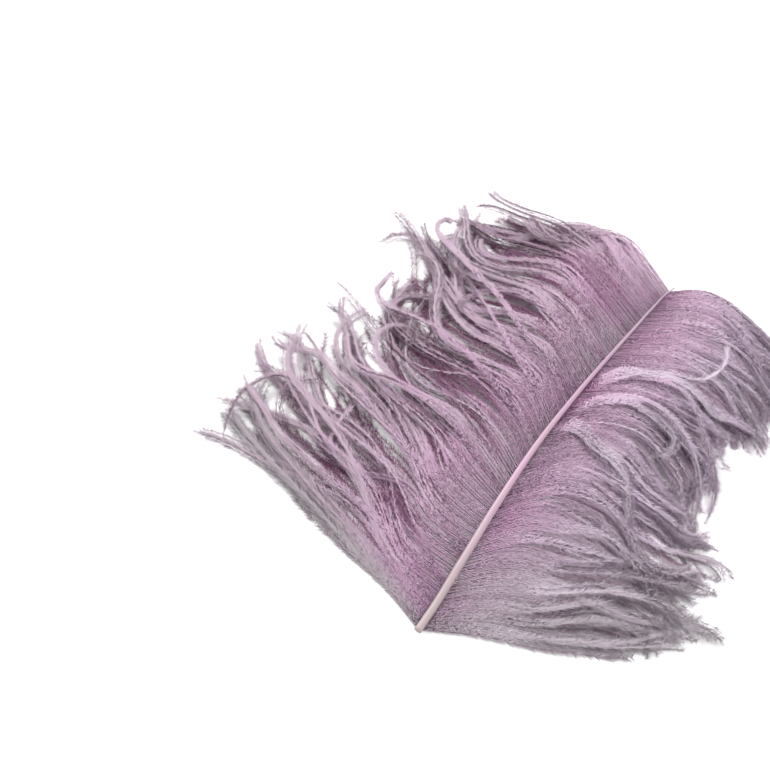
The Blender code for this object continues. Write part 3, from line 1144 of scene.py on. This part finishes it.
@dataclass(frozen=True)
class Finish:
    """What the finishes share: a gloss, and a colour that drifts slowly over the surface."""

    name: str
    roughness: float
    specular: float
    drift: Colour
    drift_scale: float
    drift_amount: float

    def material(self) -> bpy.types.Material:
        """Builds the material."""
        material, shader = plain_material(self.name, self.roughness)
        shader["Specular IOR Level"].default_value = self.specular
        self.dress(Wiring(material.node_tree), shader)
        return material

    def drifting(self, wiring: Wiring, colour: Socket) -> Socket:
        """Lets a colour drift towards another.

        Args:
            wiring: The material's nodes.
            colour: The colour.

        Returns:
            The socket that gives what it becomes.
        """
        inputs = {
            "Colour": colour,
            "Drift": (*self.drift, 1.0),
            "Scale": self.drift_scale,
            "Amount": self.drift_amount,
        }
        return wiring.add("Group", inputs, node_tree=Mottle().group()).outputs["Colour"]

    def dress(self, wiring: Wiring, shader: bpy.types.NodeInputs) -> None:
        """Gives the shader its colour and relief."""
        raise NotImplementedError


@dataclass(frozen=True)
class DownFinish(Finish):
    """The dyed, matt barbs: mauve beside the shaft, silver grey in the locks, paler at the tips.

    Barbules are painted paler at their tips and darker at the barb, as painted highlight and shade,
    and barbs that lie low are painted darker, as painted shade. The barbs turn from dyed to wool
    as greying says: its start, and what reach and wool add to it.
    """

    name: str = "dyed down"
    roughness: float = 0.7
    specular: float = 0.15
    drift: Colour = (0.50, 0.42, 0.48)
    drift_scale: float = 22.0
    drift_amount: float = 0.35
    root: Colour = (0.60, 0.345, 0.54)
    middle: Colour = (0.57, 0.38, 0.515)
    middle_at: float = 0.45
    tip: Colour = (0.52, 0.41, 0.49)
    # Painted shade: the colour towards which loose and low barbs and barbule bases are painted, with
    # barbs of random dark lightness.
    dark_tone_and_shade: Colour = (0.11, 0.02, 0.07)
    dark_tone_and_shade_span: Span = (-1.7, 0.2)
    darkest: float = 0.9
    # Painted highlight: the colour towards which strand tops, lit sides and barbule tips are painted,
    # with barbs of random pale lightness.
    pale: Colour = (0.52, 0.42, 0.49)
    pale_tone_and_highlight_span: Span = (-0.1, 1.8)
    palest: float = 0.6
    wool: Colour = (0.395, 0.355, 0.385)
    greying: tuple[float, float, float] = (-0.85, 0.6, 1.6)
    edge_weight: float = 0.9
    edge_middle: float = 0.45
    contrasts: tuple[Span, ...] = ((0.0, 0.35), (0.38, 1.0), (0.75, 1.0), (1.0, 0.25))

    def dress(self, wiring: Wiring, shader: bpy.types.NodeInputs) -> None:
        """Colours each barb by its reach, its lightness and its wool, and each barbule by its edge.
        Low lightness and barbule bases are painted darker, as painted shade; high lightness and
        barbule tips paler, as painted highlight.

        Args:
            wiring: The material's nodes.
            shader: The shader's sockets.
        """
        titles = ("reach", "tone", "edge", "wool")
        reach, tone, edge, wool = (wiring.attribute(title) for title in titles)
        stops = ((0.0, self.root), (self.middle_at, self.middle), (1.0, self.tip))
        dyed = self.drifting(wiring, wiring.ramp(reach, stops))
        start, by_reach, by_wool = self.greying
        outward = wiring.sums("MULTIPLY_ADD", reach, by_reach, start)
        greying = wiring.sums("MULTIPLY_ADD", wool, by_wool, outward, clamp=True)
        grey = wiring.mix(greying, dyed, (*self.wool, 1.0))

        # Painted shade and highlight: low lightness and barbule bases are painted towards the shade
        # colour, high lightness and barbule tips towards the highlight colour.
        shade = wiring.sums("MULTIPLY_ADD", edge, self.edge_weight, tone)
        level = wiring.sums("SUBTRACT", shade, self.edge_weight * self.edge_middle)
        greys = tuple((place, (value, value, value)) for place, value in self.contrasts)
        local = wiring.sums("MULTIPLY", level, wiring.ramp(reach, greys))
        darker = wiring.spread(local, self.dark_tone_and_shade_span, (self.darkest, 0.0))
        paler = wiring.spread(local, self.pale_tone_and_highlight_span, (0.0, self.palest))
        with_painted_shade = wiring.mix(darker, grey, (*self.dark_tone_and_shade, 1.0))
        with_painted_highlight = wiring.mix(paler, with_painted_shade, (*self.pale, 1.0))
        wiring.tree.links.new(with_painted_highlight, shader["Base Color"])


@dataclass(frozen=True)
class HornFinish(Finish):
    """The shaft: pale horn that took some of the dye, most of it where it thins out.

    Faint streaks run along it in its relief.
    """

    name: str = "pale horn"
    roughness: float = 0.42
    specular: float = 0.4
    drift: Colour = (0.42, 0.32, 0.33)
    drift_scale: float = 60.0
    drift_amount: float = 0.4
    quill: Colour = (0.35, 0.285, 0.29)
    middle: Colour = (0.46, 0.29, 0.40)
    tip: Colour = (0.355, 0.245, 0.34)
    fades: tuple[float, float, float] = (0.05, 0.4, 0.93)
    streaks: tuple[float, float, float] = (2500.0, 40.0, 2500.0)
    streak_depth: float = 0.1 * MM
    streak_strength: float = 0.5

    def dress(self, wiring: Wiring, shader: bpy.types.NodeInputs) -> None:
        """Colours the shaft along its length and streaks its relief.

        Args:
            wiring: The material's nodes.
            shader: The shader's sockets.
        """
        stops = tuple(zip(self.fades, (self.quill, self.middle, self.tip)))
        colour = self.drifting(wiring, wiring.ramp(wiring.attribute("reach"), stops))
        stretch = wiring.add("Mapping", {"Vector": wiring.place(), "Scale": self.streaks})
        inputs = {"Vector": stretch.outputs["Vector"], "Scale": 1.0}
        height = wiring.add("TexNoise", inputs).outputs["Fac"]
        inputs = {"Height": height, "Distance": self.streak_depth, "Strength": self.streak_strength}
        bump = wiring.add("Bump", inputs)
        wiring.tree.links.new(bump.outputs["Normal"], shader["Normal"])
        wiring.tree.links.new(colour, shader["Base Color"])


@dataclass
class Plume:
    """The whole feather: its shaft and both vanes."""

    shaft_line: ShaftLine = field(default_factory=ShaftLine)
    locks: LockShape = field(default_factory=LockShape)
    left_guides: tuple[Guide, ...] = (
        (1, ((-27, 15), (-62, 27), (-98, 46), (-129, 63), (-158, 74))),
        (8, ((-29, 27), (-63, 46), (-103, 66), (-141, 84), (-176, 105))),
        (24, ((-30, 38), (-62, 62), (-99, 87), (-131, 117), (-162, 146))),
        (62, ((-27, 83), (-54, 105), (-88, 128), (-122, 150), (-151, 178))),
        (98, ((-24, 125), (-52, 143), (-87, 156), (-120, 180), (-146, 216))),
        (138, ((-22, 162), (-51, 175), (-85, 184), (-120, 208), (-146, 250))),
        (190, ((-27, 213), (-56, 227), (-83, 230), (-110, 243), (-136, 270))),
        (240, ((-21, 260), (-48, 277), (-76, 280), (-102, 278), (-125, 287))),
        (277, ((-11, 294), (-34, 307), (-60, 309), (-83, 305), (-104, 305))),
    )
    right_guides: tuple[Guide, ...] = (
        (1, ((28, 12), (54, 19), (77, 28), (94, 38), (108, 50))),
        (28, ((21, 42), (45, 50), (68, 59), (93, 66), (120, 72))),
        (68, ((20, 80), (46, 85), (70, 84), (95, 84), (119, 92))),
        (105, ((22, 123), (46, 127), (68, 119), (88, 109), (111, 108))),
        (140, ((23, 158), (44, 163), (63, 157), (78, 145), (89, 130))),
        (172, ((24, 190), (44, 199), (63, 197), (78, 186), (87, 168))),
        (208, ((29, 225), (53, 229), (76, 225), (93, 216), (106, 203))),
        (245, ((30, 258), (53, 261), (75, 254), (94, 242), (108, 226))),
        (277, ((26, 288), (44, 288), (62, 279), (78, 264), (92, 248))),
    )
    left_lines: tuple[Guide, ...] = (
        (200, ((-21, 208), (-42, 220), (-60, 225), (-74, 221), (-83, 215), (-88, 208), (-85, 202),
               (-75, 203), (-65, 210))),
        (150, ((-34, 174), (-66, 200), (-92, 220), (-111, 232), (-123, 241), (-134, 249), (-144, 261))),
        (166, ((-38, 193), (-66, 213), (-93, 229), (-110, 240), (-123, 249), (-132, 259), (-131, 267),
               (-122, 267))),
        (128, ((-44, 157), (-76, 172), (-98, 177), (-114, 180), (-125, 183), (-135, 192), (-136, 201),
               (-135, 211))),
        (90, ((-49, 122), (-84, 130), (-106, 130), (-119, 137), (-131, 153), (-143, 167), (-150, 178))),
        (46, ((-38, 80), (-74, 102), (-102, 118), (-119, 124), (-136, 132), (-149, 130), (-159, 128),
              (-167, 132))),
        (50, ((-34, 82), (-70, 100), (-99, 112), (-117, 120), (-132, 130), (-147, 141), (-158, 146))),
        (30, ((-37, 56), (-76, 74), (-100, 80), (-114, 90), (-127, 103), (-140, 109), (-150, 107),
              (-156, 97), (-158, 84), (-153, 64), (-143, 44))),
        (18, ((-35, 43), (-71, 56), (-106, 66), (-124, 72), (-141, 83), (-155, 91), (-165, 99))),
        (200, ((-21, 221), (-38, 233), (-50, 240), (-56, 236), (-57, 227))),
    )
    left_habits: tuple[dict[str, float], ...] = (
        *({},) * 7,
        {"barbs": 4, "radius": 0.7},
        {},
        {"barbs": 4, "tone": 1.5},
    )
    right_lines: tuple[Guide, ...] = (
        (146, ((15, 146), (29, 138), (39, 136), (49, 130), (57, 117), (63, 105))),
        (146, ((12, 165), (27, 176), (39, 177), (51, 175), (59, 172), (61, 166), (59, 159), (53, 155))),
        (172, ((13, 184), (22, 193), (33, 203), (45, 209), (55, 215), (60, 227), (60, 240), (55, 252),
               (49, 262))),
        (178, ((16, 194), (33, 201), (46, 207), (59, 205), (71, 198), (82, 199))),
        (186, ((27, 196), (44, 200), (58, 196), (73, 179), (86, 161), (93, 144), (95, 126))),
        (156, ((19, 175), (40, 182), (60, 176), (76, 161), (86, 142), (90, 122))),
    )
    right_habits: tuple[dict[str, float], ...] = (
        {"barbs": 12, "radius": 2.5, "lift": 8.0, "tone": 2.2},
        {"barbs": 8, "radius": 1.8, "lift": 7.5, "tone": 2.0},
        {"barbs": 4, "radius": 0.9, "lift": 7.0, "tone": 1.1},
        {"barbs": 8, "radius": 1.8, "lift": 7.0, "tone": 1.5},
        {"barbs": 4, "radius": 0.8},
        {"barbs": 4, "radius": 0.8},
    )
    left_barbs: int = 530
    right_barbs: int = 450
    stray_barbules: tuple[float, ...] = (1.8, 2.3, 2.9, 3.3, 3.5, 3.5, 3.2)
    right_finish: DownFinish = DownFinish(
        name="dyed down, right side",
        root=(0.60, 0.26, 0.49),
        middle=(0.72, 0.57, 0.72),
        tip=(0.55, 0.47, 0.55),
        drift=(0.55, 0.50, 0.55),
        # This side's painted shade colour.
        dark_tone_and_shade=(0.20, 0.11, 0.17),
        contrasts=((0.0, 0.2), (0.38, 1.0), (0.75, 1.0), (1.0, 0.25)),
        # This side's painted highlight colour.
        pale=(0.76, 0.66, 0.75),
    )
    pieces_a_side: int = 3

    def place(self, piece: bpy.types.Object, slot: str, material: bpy.types.Material) -> None:
        """Dresses a piece, hangs it from the body's root and hides the CAD solid that it replaces.

        Args:
            piece: The piece.
            slot: The record's material slot that the piece stands for; not used.
            material: Its material.
        """
        piece.data.materials.append(material)
        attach(piece, "root")
        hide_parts("feather")
        LOG.info("%s: %d faces", piece.name, len(piece.data.polygons))

    def vanes(self) -> tuple[Vane, Vane]:
        """Both vanes, with their locks leaving the shaft in pairs."""
        common = {"shaft": self.shaft_line, "locks": self.locks}
        left = Vane(
            side=Side.LEFT, guides=self.left_guides, barbs=self.left_barbs, seed=31, **common,
            strand_sizes=(6, 8, 10, 12, 14), strand_radius=2.5, woolly_locks=4.0, flow_spread=0.36,
        )
        right = Vane(
            side=Side.RIGHT, guides=self.right_guides, barbs=self.right_barbs, seed=12, **common,
            thin_lock=15.0, thin_depth=0.3, curl_mean=-0.5, curl_spread=1.1, bend_spread=0.3,
            fray=1.4, woolly_locks=16.0, loose_reach=1.0, tone_spread=0.5,
        )
        left.stations = right.stations = (left.stations + right.stations) / 2
        return left, right

    def build(self) -> None:
        """Builds the shaft and both vanes."""
        self.place(Shaft(self.shaft_line).build(), "shaft", HornFinish().material())
        draws = random.Random(self.locks.seed)
        finishes = DownFinish().material(), self.right_finish.material()
        vanes = self.vanes()
        down = Down()
        for vane, finish in zip(vanes, finishes):
            barbs = vane.grow(vane.lock_draws(draws))
            edges = np.linspace(0, len(barbs.tone), self.pieces_a_side + 1).astype(int)
            for number, (first, last) in enumerate(zip(edges, edges[1:])):
                name = f"{vane.side.value}_barbs_{number + 1}"
                self.place(down.build(name, barbs.part(slice(first, last))), "barbs", finish)
        down = Down(barbule_lengths=self.stray_barbules)
        sides = (self.left_lines, self.left_habits), (self.right_lines, self.right_habits)
        for vane, finish, (lines, habits) in zip(vanes, finishes, sides):
            strays = tuple(Stray(line, **habit) for line, habit in zip(lines, habits))
            piece = down.build(f"{vane.side.value}_strays", Strays(strays, vane).grow())
            self.place(piece, "barbs", finish)


@dataclass
class Studio:
    """A pale surface, soft light and the camera."""

    azimuth: float = 30.0
    elevation: float = 46.0
    distance: float = 1.0
    lens: float = 85.0
    sensor: float = 36.0
    picture: int = 770
    quill_pixel: Span = (418.0, 630.0)
    quill_height: float = 0.002
    floor_size: float = 6.0
    floor_shade: float = 0.9
    floor_roughness: float = 0.9
    sky: float = 0.68

    def camera(self) -> None:
        """Puts the camera where the quill's cut end falls on its place in the picture."""
        a, e = math.radians(self.azimuth), math.radians(self.elevation)
        back = Vector((math.sin(a) * math.cos(e), -math.cos(a) * math.cos(e), math.sin(e)))
        right = Vector((math.cos(a), math.sin(a), 0.0))
        up = back.cross(right)
        focal = self.picture * self.lens / self.sensor
        across, down = ((pixel - self.picture / 2) / focal for pixel in self.quill_pixel)
        ray = -back + right * across - up * down
        eye = back * self.distance
        landed = eye + ray * ((self.quill_height - eye.z) / ray.z)
        eye += Vector((QUILL_END[0] * MM - landed.x, QUILL_END[1] * MM - landed.y, 0.0))
        data = bpy.data.cameras.new("camera")
        data.lens = self.lens
        data.sensor_width = self.sensor
        camera = linked("camera", data)
        camera.matrix_world = Matrix.Translation(eye) @ Matrix((right, up, back)).transposed().to_4x4()
        bpy.context.scene.camera = camera

    def light(self, name: str, place: Colour, size: float, power: float) -> None:
        """Adds a soft light that faces the feather.

        Args:
            name: The light's name.
            place: Where it is, in metres.
            size: Its width in metres.
            power: Its power in watts.
        """
        data = bpy.data.lights.new(name, "AREA")
        data.shape = "DISK"
        data.size = size
        data.energy = power
        lamp = linked(name, data)
        lamp.location = place
        lamp.rotation_euler = Vector(place).to_track_quat("Z", "Y").to_euler()

    def floor(self) -> None:
        """Lays the pale surface that the feather rests on."""
        half = self.floor_size / 2
        mesh = bpy.data.meshes.new("floor")
        corners = [(-half, -half, 0), (half, -half, 0), (half, half, 0), (-half, half, 0)]
        mesh.from_pydata(corners, [], [(0, 1, 2, 3)])
        material, shader = plain_material("pale surface", self.floor_roughness)
        shader["Base Color"].default_value = (*[self.floor_shade] * 3, 1.0)
        mesh.materials.append(material)
        floor = linked("floor", mesh)

    def build(self) -> None:
        """Sets the stage."""
        scene = bpy.context.scene
        world = bpy.data.worlds.new("studio")
        world.use_nodes = True
        background = world.node_tree.nodes["Background"]
        background.inputs["Color"].default_value = (1.0, 1.0, 1.0, 1.0)
        background.inputs["Strength"].default_value = self.sky
        scene.world = world
        scene.view_settings.view_transform = "Standard"
        self.floor()
        self.light("key", (-0.9, 0.5, 1.0), 0.4, 18.0)
        self.light("fill", (0.9, -0.3, 1.1), 1.0, 15.0)
        self.camera()


def main() -> None:
    """Builds the feather and its stage."""
    logging.basicConfig(level=logging.INFO, format="%(name)s: %(message)s")
    Studio().build()
    Plume().build()


if __name__ == "__main__":
    main()
